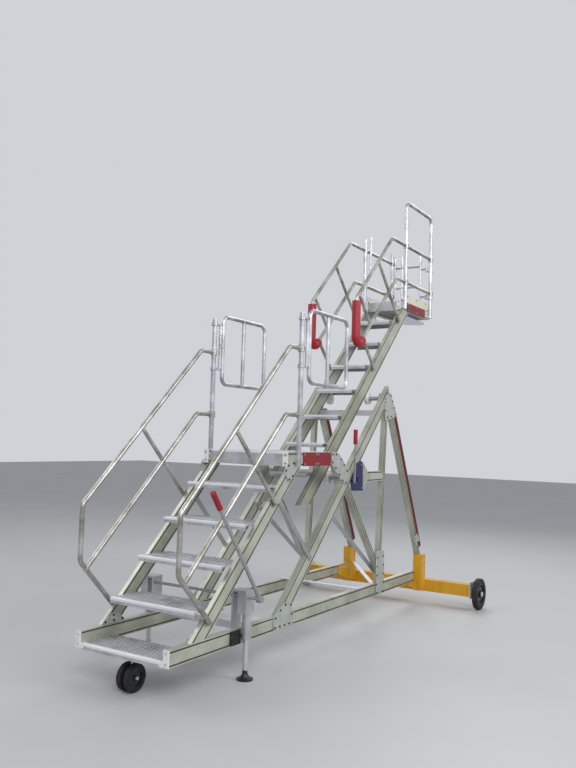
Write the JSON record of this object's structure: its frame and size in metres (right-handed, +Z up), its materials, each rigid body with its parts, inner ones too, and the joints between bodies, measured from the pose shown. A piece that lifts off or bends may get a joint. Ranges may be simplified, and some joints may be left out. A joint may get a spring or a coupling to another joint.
{
  "type": "variable height access platform",
  "caption": "Wheeled aluminium access stair: a fixed lower flight and landing, and a sliding upper flight with a guarded platform.",
  "frame": {"origin": "on the floor, under the middle of the machine's length and width", "axes": "+X the way a person climbs, towards the rear axle; +Y to the left of the climber; +Z up"},
  "size_m": [4.401, 2.0306, 4.119],
  "materials": {
    "extrusion": "satin, weathered",
    "tread_metal": "worn tread plate",
    "tube": "brushed tube",
    "white_cap": "moulded",
    "black_cap": "moulded",
    "red_paint": "gloss, worn",
    "dark_red": "satin, worn",
    "gusset": "perforated plate",
    "yellow": "gloss, worn",
    "zinc": "zinc plated",
    "blue": "gloss",
    "cream": "satin",
    "grip": "moulded grip",
    "sleeve": "moulded rubber sleeve",
    "roller": "turned nylon",
    "tyre": "solid rubber",
    "hub": "cast, painted black"
  },
  "bodies": {
    "base": {"base_rails": "extrusion", "white_end_caps": "white_cap", "black_end_caps": "black_cap", "lower_stringers": "extrusion", "lower_treads": "tread_metal", "landing_beams": "extrusion", "landing_side_plates": "red_paint", "landing_deck": "tread_metal", "landing_posts": "tube", "lower_handrail_left": "tube", "lower_handrail_right": "tube", "frame_flats": "zinc", "guide_legs": "extrusion", "upright_legs": "extrusion", "rear_legs": "extrusion", "frame_gussets": "gusset", "frame_struts": "extrusion", "red_struts": "dark_red", "cross_members": "tread_metal", "rear_axle": "yellow", "axle_end_plates": "zinc", "caster_plate": "zinc", "jack_housings": "zinc", "winch_frame": "blue", "winch_drum": "zinc", "winch_crank": "zinc", "winch_grip": "grip", "roller_mounts": "zinc"},
    "upper_flight": {"upper_stringers": "extrusion", "upper_treads": "tread_metal", "platform_beams": "extrusion", "platform_end_caps": "white_cap", "platform_side_plates": "red_paint", "platform_deck": "tread_metal", "platform_posts": "tube", "platform_hoop": "tube", "platform_side_rails": "tube", "toe_boards": "cream", "platform_arms": "extrusion", "upper_handrail_left": "tube", "upper_handrail_right": "tube", "red_sleeves": "sleeve"},
    "rear_gate": {"platform_rear_gate": "tube"},
    "side_gate_left": {"side_gate_left": "tube"},
    "side_gate_right": {"side_gate_right": "tube"},
    "lower_roller_left": {"lower_roller_left": "roller"},
    "lower_roller_right": {"lower_roller_right": "roller"},
    "upper_roller_left": {"upper_roller_left": "roller"},
    "upper_roller_right": {"upper_roller_right": "roller"},
    "rear_wheel_left": {"rear_tyre_left": "tyre", "rear_hub_left": "hub"},
    "rear_wheel_right": {"rear_tyre_right": "tyre", "rear_hub_right": "hub"},
    "caster_swivel": {"caster_fork": "zinc"},
    "caster_wheels": {"caster_tyres": "tyre", "caster_hubs": "hub"},
    "jack_lever": {"jack_lever": "zinc", "jack_lever_grip": "grip"},
    "jack_foot_left": {"jack_foot_left": "zinc"},
    "jack_foot_right": {"jack_foot_right": "zinc"}
  },
  "joints": [
    {"name": "flight_slide", "type": "slide", "parent": "base", "child": "upper_flight", "axis": [0.7141, 0, 0.7001], "range_m": [-0.95, 0.2]},
    {"name": "rear_gate_hinge", "type": "hinge", "parent": "upper_flight", "child": "rear_gate", "pos_m": [2.1735, -0.186, 3.4], "axis": [0, 0, 1], "range_deg": [0, 90]},
    {"name": "side_gate_left_hinge", "type": "hinge", "parent": "base", "child": "side_gate_left", "pos_m": [-0.7545, 0.418, 2.338], "axis": [0, 0, 1], "range_deg": [0, 90]},
    {"name": "side_gate_right_hinge", "type": "hinge", "parent": "base", "child": "side_gate_right", "pos_m": [-0.7545, -0.418, 2.338], "axis": [0, 0, 1], "range_deg": [-90, 0]},
    {"name": "lower_roller_left_spin", "type": "hinge", "parent": "base", "child": "lower_roller_left", "pos_m": [0.00821, 0.204, 1.28764], "axis": [0, 1, 0], "continuous": true},
    {"name": "lower_roller_right_spin", "type": "hinge", "parent": "base", "child": "lower_roller_right", "pos_m": [0.00821, -0.204, 1.28764], "axis": [0, 1, 0], "continuous": true},
    {"name": "upper_roller_left_spin", "type": "hinge", "parent": "base", "child": "upper_roller_left", "pos_m": [0.74014, 0.204, 2.00521], "axis": [0, 1, 0], "continuous": true},
    {"name": "upper_roller_right_spin", "type": "hinge", "parent": "base", "child": "upper_roller_right", "pos_m": [0.74014, -0.204, 2.00521], "axis": [0, 1, 0], "continuous": true},
    {"name": "rear_wheel_left_spin", "type": "hinge", "parent": "base", "child": "rear_wheel_left", "pos_m": [1.6935, 0.98, 0.148], "axis": [0, 1, 0], "continuous": true},
    {"name": "rear_wheel_right_spin", "type": "hinge", "parent": "base", "child": "rear_wheel_right", "pos_m": [1.6935, -0.98, 0.148], "axis": [0, 1, 0], "continuous": true},
    {"name": "caster_swivel", "type": "hinge", "parent": "base", "child": "caster_swivel", "pos_m": [-2.0445, 0, 0.194], "axis": [0, 0, 1], "continuous": true},
    {"name": "caster_wheels_spin", "type": "hinge", "parent": "caster_swivel", "child": "caster_wheels", "pos_m": [-2.0905, 0, 0.088], "axis": [0, 1, 0], "continuous": true},
    {"name": "jack_lever_turn", "type": "hinge", "parent": "base", "child": "jack_lever", "pos_m": [-1.5045, 0, 0.548], "axis": [0, 1, 0], "range_deg": [0, 80]},
    {"name": "jack_left_lift", "type": "slide", "parent": "base", "child": "jack_foot_left", "axis": [0, 0, 1], "range_m": [0, 0.09]},
    {"name": "jack_right_lift", "type": "slide", "parent": "base", "child": "jack_foot_right", "axis": [0, 0, 1], "range_m": [0, 0.09]}
  ],
  "couplings": [
    {"joint": "jack_left_lift", "follows": "jack_lever_turn", "m_per_rad": 0.0635},
    {"joint": "jack_right_lift", "follows": "jack_lever_turn", "m_per_rad": 0.0635}
  ]
}
